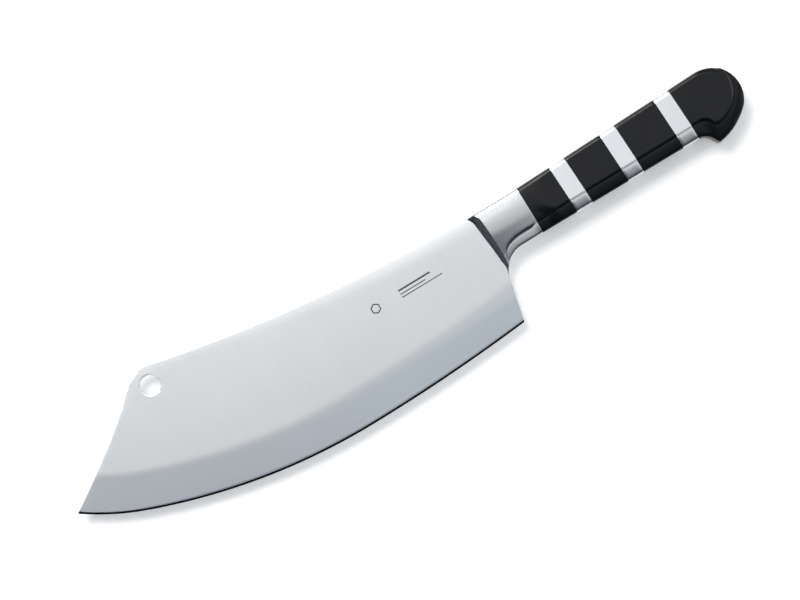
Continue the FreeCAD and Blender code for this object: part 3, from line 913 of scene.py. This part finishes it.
def new_group(name, inputs, outputs):
    """An empty shader node group with named number sockets."""
    group = bpy.data.node_groups.new(name, "ShaderNodeTree")
    for label, value in inputs.items():
        socket = group.interface.new_socket(label, in_out="INPUT", socket_type="NodeSocketFloat")
        socket.default_value = value
    for label in outputs:
        group.interface.new_socket(label, in_out="OUTPUT", socket_type="NodeSocketFloat")
    return group, group.nodes.new("NodeGroupInput"), group.nodes.new("NodeGroupOutput")


def join(tree, *links):
    for start, end in links:
        tree.links.new(start, end)


def maths(tree, operation, first, second):
    """A Math node on two values, each a socket or a number."""
    node = tree.nodes.new("ShaderNodeMath")
    node.operation = operation
    for socket, value in zip(node.inputs, (first, second)):
        if isinstance(value, (int, float)):
            socket.default_value = value
        else:
            tree.links.new(value, socket)
    return node.outputs[0]


def noise(tree, vector, scale, detail=4.0, roughness=0.55):
    node = tree.nodes.new("ShaderNodeTexNoise")
    node.inputs["Scale"].default_value = scale
    node.inputs["Detail"].default_value = detail
    node.inputs["Roughness"].default_value = roughness
    tree.links.new(vector, node.inputs["Vector"])
    return node.outputs["Fac"]


def spread(tree, value, low, high, new_low=0.0, new_high=1.0):
    """A Map Range node with fixed limits."""
    node = tree.nodes.new("ShaderNodeMapRange")
    for label, number in (("From Min", low), ("From Max", high),
                          ("To Min", new_low), ("To Max", new_high)):
        node.inputs[label].default_value = number
    tree.links.new(value, node.inputs["Value"])
    return node.outputs["Result"]


def brushed_group():
    """Fine brushing in one direction, with a few deeper strokes."""
    group, ins, outs = new_group(
        "Brushed Finish", {"Across": 1400.0, "Along": 45.0, "Turn": 0.0},
        ("Fine", "Strokes", "Height"))
    place = group.nodes.new("ShaderNodeTexCoord")
    turned = group.nodes.new("ShaderNodeVectorRotate")
    turned.rotation_type = "Z_AXIS"
    scaled = group.nodes.new("ShaderNodeVectorMath")
    scaled.operation = "MULTIPLY"
    stretch = group.nodes.new("ShaderNodeCombineXYZ")
    join(group, (place.outputs["Object"], turned.inputs["Vector"]),
         (ins.outputs["Turn"], turned.inputs["Angle"]),
         (ins.outputs["Across"], stretch.inputs["X"]),
         (ins.outputs["Along"], stretch.inputs["Y"]),
         (ins.outputs["Across"], stretch.inputs["Z"]),
         (turned.outputs["Vector"], scaled.inputs[0]), (stretch.outputs[0], scaled.inputs[1]))
    fine = noise(group, scaled.outputs[0], 1.0, 3.0)
    strokes = spread(group, noise(group, scaled.outputs[0], 0.22, 6.0, 0.7), 0.42, 0.7)
    height = maths(group, "ADD", fine, maths(group, "MULTIPLY", strokes, 0.5))
    join(group, (fine, outs.inputs["Fine"]), (strokes, outs.inputs["Strokes"]),
         (height, outs.inputs["Height"]))
    return group


def wear_group():
    """A mask for polished corners, broken up by a soft noise."""
    group, ins, outs = new_group("Corner Wear", {"Start": 0.52, "End": 0.62}, ("Mask",))
    geometry = group.nodes.new("ShaderNodeNewGeometry")
    place = group.nodes.new("ShaderNodeTexCoord")
    node = group.nodes.new("ShaderNodeMapRange")
    join(group, (geometry.outputs["Pointiness"], node.inputs["Value"]),
         (ins.outputs["Start"], node.inputs["From Min"]),
         (ins.outputs["End"], node.inputs["From Max"]))
    broken = spread(group, noise(group, place.outputs["Object"], 260.0), 0.35, 0.65, 0.45, 1.0)
    mask = maths(group, "MULTIPLY", node.outputs["Result"], broken)
    join(group, (mask, outs.inputs["Mask"]))
    return group


def handling_group():
    """Slow, cloudy variation from handling and wiping, and a fine speckle of dust."""
    group, ins, outs = new_group("Handling", {"Cloud": 34.0, "Speckle": 1500.0},
                                 ("Cloud", "Speckle"))
    place = group.nodes.new("ShaderNodeTexCoord")
    results = []
    for label, low, high in (("Cloud", 0.35, 0.68), ("Speckle", 0.66, 0.74)):
        node = group.nodes.new("ShaderNodeTexNoise")
        node.inputs["Detail"].default_value = 4.0
        join(group, (place.outputs["Object"], node.inputs["Vector"]),
             (ins.outputs[label], node.inputs["Scale"]))
        results.append(spread(group, node.outputs["Fac"], low, high))
    join(group, *zip(results, (outs.inputs["Cloud"], outs.inputs["Speckle"])))
    return group


def group_node(tree, name, maker, **values):
    """Place a shared group in a material with this material's own values."""
    group = bpy.data.node_groups.get(name) or maker()
    node = tree.nodes.new("ShaderNodeGroup")
    node.node_tree = group
    for label, value in values.items():
        node.inputs[label].default_value = value
    return node


def start_material(name, colour, metallic, roughness):
    """A new material with its Principled shader set."""
    material = bpy.data.materials.new(name)
    material.use_nodes = True
    tree = material.node_tree
    shader = tree.nodes["Principled BSDF"]
    shader.inputs["Base Color"].default_value = (*colour, 1.0)
    shader.inputs["Metallic"].default_value = metallic
    shader.inputs["Roughness"].default_value = roughness
    material.diffuse_color = (*colour, 1.0)
    return material, tree, shader


def blend_colours(tree, amount, *colours):
    """A Mix node on two colours, each a socket or three numbers."""
    node = tree.nodes.new("ShaderNodeMix")
    node.data_type = "RGBA"
    tree.links.new(amount, node.inputs["Factor"])
    for socket, colour in zip([entry for entry in node.inputs if entry.type == "RGBA"], colours):
        if isinstance(colour, bpy.types.NodeSocket):
            tree.links.new(colour, socket)
        else:
            socket.default_value = (*colour, 1.0)
    return next(socket for socket in node.outputs if socket.type == "RGBA")


def tone(tree, colour, amount, dark, light):
    """The colour, varied by a mask between a darker and a lighter share of itself."""
    return blend_colours(tree, amount, *([min(channel * factor, 1.0) for channel in colour]
                                         for factor in (dark, light)))


def bump(tree, height, shader, strength, distance):
    node = tree.nodes.new("ShaderNodeBump")
    node.inputs["Strength"].default_value = strength
    node.inputs["Distance"].default_value = distance
    join(tree, (height, node.inputs["Height"]), (node.outputs["Normal"], shader.inputs["Normal"]))


# How upright a face is on the flat of the blade and on its main bevel: the height of its normal.
FLAT_NORMAL, BEVEL_NORMAL = 0.9994, 0.9962
# In metres: how deep the brushing and the moulded grain are.
BRUSHING_DEPTH, GRAIN_DEPTH = 0.00002, 0.00003


def tilt_mask(tree):
    """A mask that is 0 on the flat of the blade and 1 on its main bevel, where the bevel's painted
    reflection tint goes.
    """
    geometry = tree.nodes.new("ShaderNodeNewGeometry")
    parts = tree.nodes.new("ShaderNodeSeparateXYZ")
    join(tree, (geometry.outputs["Normal"], parts.inputs[0]))
    upright = maths(tree, "ABSOLUTE", parts.outputs["Z"], 0.0)
    return spread(tree, upright, FLAT_NORMAL, BEVEL_NORMAL)


def steel_material(name, colour, roughness, across, along, turn, strength, bevel=None):
    """Satin steel, brushed in one direction; a ground bevel may have its own colour, which carries
    a painted reflection tint.
    """
    material, tree, shader = start_material(name, colour, 1.0, roughness)
    brushed = group_node(tree, "Brushed Finish", brushed_group,
                         Across=across, Along=along, Turn=turn)
    handled = group_node(tree, "Handling", handling_group, Cloud=30.0)
    worn = group_node(tree, "Corner Wear", wear_group)
    colour_out = tone(tree, colour, brushed.outputs["Strokes"], 1.0, 0.985)
    # The bevel's colour, partly a painted reflection tint, is laid by the tilt of the face.
    if bevel:
        colour_out = blend_colours(tree, tilt_mask(tree), colour_out, bevel)
    base = spread(tree, brushed.outputs["Fine"], 0.3, 0.7, roughness - 0.015, roughness + 0.02)
    cloudy = maths(tree, "ADD", base, maths(tree, "MULTIPLY", handled.outputs["Cloud"], 0.015))
    polished = maths(tree, "SUBTRACT", cloudy,
                     maths(tree, "MULTIPLY", worn.outputs["Mask"], 0.08))
    join(tree, (colour_out, shader.inputs["Base Color"]), (polished, shader.inputs["Roughness"]))
    bump(tree, brushed.outputs["Height"], shader, strength, BRUSHING_DEPTH)
    return material


def black_material(sizes):
    """Satin black moulded plastic with a very fine grain."""
    colour = tuple(sizes.black)
    material, tree, shader = start_material("Moulded Black", colour, 0.0, sizes.roughness)
    shader.inputs["IOR"].default_value = 1.33
    handled = group_node(tree, "Handling", handling_group, Cloud=55.0, Speckle=2600.0)
    worn = group_node(tree, "Corner Wear", wear_group)
    place = tree.nodes.new("ShaderNodeTexCoord")
    grain = noise(tree, place.outputs["Object"], 3200.0, 3.0)
    shade_mask = maths(tree, "ADD", handled.outputs["Speckle"],
                       maths(tree, "MULTIPLY", handled.outputs["Cloud"], 0.35))
    join(tree, (tone(tree, colour, shade_mask, 0.85, 1.5), shader.inputs["Base Color"]))
    rough = maths(tree, "ADD", spread(tree, grain, 0.3, 0.7, sizes.roughness - 0.04,
                                      sizes.roughness + 0.05),
                  maths(tree, "MULTIPLY", handled.outputs["Cloud"], 0.05))
    polished = maths(tree, "SUBTRACT", rough, maths(tree, "MULTIPLY", worn.outputs["Mask"], 0.1))
    join(tree, (polished, shader.inputs["Roughness"]))
    bump(tree, grain, shader, 0.25, GRAIN_DEPTH)
    return material


def etched_material():
    """Steel darkened and roughened by etching."""
    colour = (0.055, 0.057, 0.06)
    material, tree, shader = start_material("Etched Steel", colour, 0.35, 0.6)
    handled = group_node(tree, "Handling", handling_group, Cloud=300.0, Speckle=5000.0)
    join(tree, (tone(tree, colour, handled.outputs["Cloud"], 0.8, 1.5),
                shader.inputs["Base Color"]))
    bump(tree, handled.outputs["Speckle"], shader, 0.3, BRUSHING_DEPTH)
    return material


def plain_material(name, colour, metallic, roughness):
    """A quiet finish for a hidden piece, cloudy and a little uneven."""
    material, tree, shader = start_material(name, colour, metallic, roughness)
    handled = group_node(tree, "Handling", handling_group, Cloud=120.0)
    join(tree, (tone(tree, colour, handled.outputs["Cloud"], 0.8, 1.1),
                shader.inputs["Base Color"]),
         (spread(tree, handled.outputs["Cloud"], 0.0, 1.0, roughness, roughness + 0.1),
          shader.inputs["Roughness"]))
    return material


def shared(name, maker, *values):
    """A material by name, made the first time that it is asked for."""
    return bpy.data.materials.get(name) or maker(*values)


# ---------------------------------------------------------------- operators

class CLEAVER_OT_blade(bpy.types.Operator):
    """Make the ground blade with its hanging hole"""

    bl_idname = "cleaver.make_blade"
    bl_label = "Make Blade"

    def execute(self, context):
        sizes = context.scene.cleaver_blade
        piece = make_blade(sizes)
        # The bevel colour passed here is the finer grind's finish with a painted reflection tint,
        # lighter and bluer than the flat.
        steel = steel_material("Satin Blade Steel", tuple(sizes.colour), sizes.roughness,
                               2400.0, 60.0, 0.0, 0.015, tuple(sizes.bevel))
        finish_piece(piece, steel, "blade_steel", "blade")
        # The near-black edge colour is a painted dark reflection along the honed edge, not the
        # steel's own colour.
        paint_edge_dark_reflection(piece, steel_material("Honed Edge Steel", (0.03, 0.032, 0.036), 0.24,
                                   3000.0, 200.0, 0.0, 0.02))
        return {"FINISHED"}


def paint_edge_dark_reflection(blade, material):
    """Give the faces of the honed edge bevel their own near-black material: a painted dark
    reflection along the edge.
    """
    blade.data.materials.append(material)
    limit = bpy.context.scene.cleaver_blade.edge_bevel / MM
    for face in blade.data.polygons:
        place = (face.center - ORIGIN) / MM
        if edge_distance(place.x, place.y) < limit:
            face.material_index = 1


class CLEAVER_OT_mark(bpy.types.Operator):
    """Make the plain etched mark on the blade"""

    bl_idname = "cleaver.make_mark"
    bl_label = "Make Etched Mark"

    def execute(self, context):
        piece = make_mark(context.scene.cleaver_blade)
        finish_piece(piece, etched_material(), "blade_steel")
        return {"FINISHED"}


class CLEAVER_OT_bolster(bpy.types.Operator):
    """Make the bolster with its cove"""

    bl_idname = "cleaver.make_bolster"
    bl_label = "Make Bolster"

    def execute(self, context):
        blade, handle = context.scene.cleaver_blade, context.scene.cleaver_handle
        steel = steel_material("Satin Bolster Steel", tuple(blade.colour), 0.26,
                               2800.0, 90.0, math.radians(90), 0.006)
        finish_piece(make_bolster(handle, blade), steel, "bolster_steel", "bolster")
        return {"FINISHED"}


class CLEAVER_OT_rings(bpy.types.Operator):
    """Make the three steel rings"""

    bl_idname = "cleaver.make_rings"
    bl_label = "Make Rings"

    def execute(self, context):
        sizes = context.scene.cleaver_handle
        steel = steel_material("Satin Ring Steel", tuple(sizes.ring), 0.27,
                               2800.0, 90.0, 0.0, 0.006)
        for name, (start, end) in RINGS.items():
            piece = make_collar(name, start, end, sizes, 1.2, sizes.ring_lip / MM)
            finish_piece(piece, steel, "ring_steel", name)
        return {"FINISHED"}


class CLEAVER_OT_segments(bpy.types.Operator):
    """Make the three black segments"""

    bl_idname = "cleaver.make_segments"
    bl_label = "Make Segments"

    def execute(self, context):
        sizes = context.scene.cleaver_handle
        black = shared("Moulded Black", black_material, sizes)
        for name, (start, end) in SEGMENTS.items():
            spacing = 0.35 if start == 0 else 1.4
            piece = make_collar(name, start, end, sizes, spacing, sizes.lip / MM)
            finish_piece(piece, black, "handle_black", name)
        return {"FINISHED"}


class CLEAVER_OT_pommel(bpy.types.Operator):
    """Make the hooked pommel"""

    bl_idname = "cleaver.make_pommel"
    bl_label = "Make Pommel"

    def execute(self, context):
        sizes = context.scene.cleaver_handle
        black = shared("Moulded Black", black_material, sizes)
        finish_piece(make_pommel(sizes), black, "handle_black", "pommel")
        return {"FINISHED"}


class CLEAVER_OT_hidden(bpy.types.Operator):
    """Give the hidden stud, insert and bedding their finishes"""

    bl_idname = "cleaver.finish_hidden"
    bl_label = "Finish Hidden Pieces"

    def execute(self, context):
        finishes = {
            "tang_stud": ("Stud Steel", (0.6, 0.61, 0.62), 1.0, 0.35),
            "pommel_insert": ("Turned Brass", (0.72, 0.55, 0.27), 1.0, 0.3),
            "tang_bedding": ("Cured Resin", (0.09, 0.08, 0.07), 0.0, 0.4),
        }
        for node, values in finishes.items():
            material = plain_material(*values)
            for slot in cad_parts[node].material_slots:
                slot.material = material
        return {"FINISHED"}


def add_area(name, studio, offset, size, power, facing):
    """A rectangular light, placed in the view's own axes and turned to face the knife."""
    data = bpy.data.lights.new(name, "AREA")
    data.shape = "RECTANGLE"
    data.size, data.size_y = size
    data.energy = power
    data.color = LIGHT_COLOUR
    light = bpy.data.objects.new(name, data)
    turned = Matrix.Rotation(-studio.roll, 4, "Z") @ Vector(offset)
    light.location = (LOW + HIGH) / 2 + turned
    light.rotation_euler = (-turned).to_track_quat("-Z", "Y").to_euler() if facing \
        else (0, 0, -studio.roll)
    light.visible_camera = False
    bpy.context.scene.collection.objects.link(light)


# Each light's place in the view's own axes and its size, in metres, and whether it is turned
# to face the knife.
LIGHTS = {
    "softbox": ((0.3, 0.77, 1.75), (2.6, 2.46), False),
    "key": ((-0.6, 0.75, 1.7), (0.7, 0.8), True),
    "fill": ((1.6, 0.5, 0.36), (1.0, 0.5), True),
}
LIGHT_COLOUR = (1.0, 0.985, 0.965)
VIEW_CENTRE = (-64.3, -3.7)
FLOOR_SIZE, FLOOR_GLOW = 6, 0.32
FADE_START, FADE_END = -0.9, 1.0


class CLEAVER_OT_stage(bpy.types.Operator):
    """Set the floor, the lights and the camera"""

    bl_idname = "cleaver.set_stage"
    bl_label = "Set Stage"

    def execute(self, context):
        studio = context.scene.cleaver_studio
        self.add_floor(studio)
        for name, (offset, size, facing) in LIGHTS.items():
            add_area(name.title(), studio, offset, size, getattr(studio, name), facing)
        self.add_surround(context.scene, studio)
        context.scene.view_settings.view_transform = "Standard"
        self.add_camera(studio)
        return {"FINISHED"}

    def add_floor(self, studio):
        deselect()
        bpy.ops.mesh.primitive_plane_add(size=FLOOR_SIZE, location=(0, 0, LOW.z))
        floor = bpy.context.object
        floor.name = "floor"
        material, tree, shader = start_material("Pale Floor", tuple(studio.floor), 0.0, 0.9)
        shader.inputs["Specular IOR Level"].default_value = 0.1
        shader.inputs["Emission Color"].default_value = (1.0, 1.0, 1.0, 1.0)
        shader.inputs["Emission Strength"].default_value = FLOOR_GLOW
        floor.data.materials.append(material)

    def add_surround(self, scene, studio):
        """Pale walls, lit from behind the spine and dark beyond the cutting edge."""
        world = bpy.data.worlds.new("Studio")
        world.use_nodes = True
        tree = world.node_tree
        walls, out = tree.nodes["Background"], tree.nodes["World Output"]
        place = tree.nodes.new("ShaderNodeTexCoord")
        along_view = tree.nodes.new("ShaderNodeVectorMath")
        along_view.operation = "DOT_PRODUCT"
        along_view.inputs[1].default_value = (math.sin(studio.roll), math.cos(studio.roll), 0)
        fade = tree.nodes.new("ShaderNodeMapRange")
        fade.interpolation_type = "SMOOTHSTEP"
        fade.inputs["From Min"].default_value = FADE_START
        fade.inputs["From Max"].default_value = FADE_END
        mixed = blend_colours(tree, fade.outputs["Result"], studio.dark_side, studio.bright_side)
        path = tree.nodes.new("ShaderNodeLightPath")
        backdrop = tree.nodes.new("ShaderNodeBackground")
        backdrop.inputs["Color"].default_value = (0.9, 0.9, 0.9, 1.0)
        choose = tree.nodes.new("ShaderNodeMixShader")
        join(tree, (place.outputs["Generated"], along_view.inputs[0]),
             (along_view.outputs["Value"], fade.inputs["Value"]),
             (mixed, walls.inputs["Color"]),
             (path.outputs["Is Camera Ray"], choose.inputs["Fac"]),
             (walls.outputs[0], choose.inputs[1]), (backdrop.outputs[0], choose.inputs[2]),
             (choose.outputs[0], out.inputs["Surface"]))
        scene.world = world

    def add_camera(self, studio):
        data = bpy.data.cameras.new("Camera")
        data.sensor_width = 36.0
        data.lens = data.sensor_width * studio.camera_height / studio.frame_width
        data.clip_end = 20
        camera = bpy.data.objects.new("Camera", data)
        camera.location = in_row(*VIEW_CENTRE, studio.camera_height / MM)
        camera.rotation_euler = (0, 0, -studio.roll)
        bpy.context.scene.collection.objects.link(camera)
        bpy.context.scene.camera = camera


class CLEAVER_PT_panel(bpy.types.Panel):
    """The cleaver's settings and its makers"""

    bl_idname = "CLEAVER_PT_panel"
    bl_label = "Cleaver"
    bl_space_type = "VIEW_3D"
    bl_region_type = "UI"
    bl_category = "Cleaver"

    def draw(self, context):
        for name in SETTINGS:
            settings = getattr(context.scene, name)
            box = self.layout.box()
            for key in settings.__annotations__:
                box.prop(settings, key)
        for maker in MAKERS:
            self.layout.operator(maker.bl_idname)


SETTINGS = {
    "cleaver_blade": CleaverBladeSettings,
    "cleaver_handle": CleaverHandleSettings,
    "cleaver_studio": CleaverStudioSettings,
}
MAKERS = [
    CLEAVER_OT_blade, CLEAVER_OT_mark, CLEAVER_OT_bolster, CLEAVER_OT_rings,
    CLEAVER_OT_segments, CLEAVER_OT_pommel, CLEAVER_OT_hidden, CLEAVER_OT_stage,
]


def register():
    for item in [*SETTINGS.values(), *MAKERS, CLEAVER_PT_panel]:
        bpy.utils.register_class(item)
    for name, group in SETTINGS.items():
        setattr(bpy.types.Scene, name, PointerProperty(type=group))


def unregister():
    for name in SETTINGS:
        delattr(bpy.types.Scene, name)
    for item in [CLEAVER_PT_panel, *MAKERS[::-1], *SETTINGS.values()]:
        bpy.utils.unregister_class(item)


def main():
    register()
    for maker in MAKERS:
        section_name, action = maker.bl_idname.split(".")
        getattr(getattr(bpy.ops, section_name), action)()


if __name__ == "__main__":
    main()
